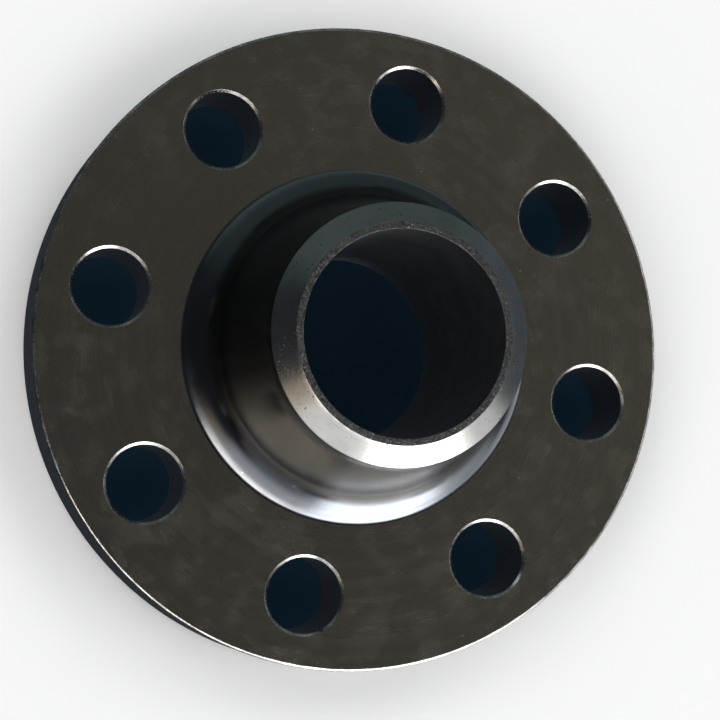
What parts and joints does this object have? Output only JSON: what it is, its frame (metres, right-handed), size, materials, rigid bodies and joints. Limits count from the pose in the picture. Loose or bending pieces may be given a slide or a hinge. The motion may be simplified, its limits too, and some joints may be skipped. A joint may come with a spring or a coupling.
{
  "type": "weld neck pipe flange",
  "caption": "Raised-face weld neck pipe flange: round drilled ring with a tapered hub ending in a bevelled butt-weld end, for a 2 1/2 inch (DN 65) pipe.",
  "frame": {"origin": "centre of the raised sealing face, on the bore axis, at the middle of the underside", "axes": "+Z along the bore axis from the raised face to the weld end; the bolt holes straddle the X and Y axes, the first at 22.5 degrees from +X"},
  "size_m": [0.1906, 0.1906, 0.0762],
  "materials": {
    "flange_steel": "dark oiled forged steel, machined, satin on the ring and glossy on the hub"
  },
  "bodies": {
    "root": {"weld_neck_flange": "flange_steel"}
  },
  "joints": []
}
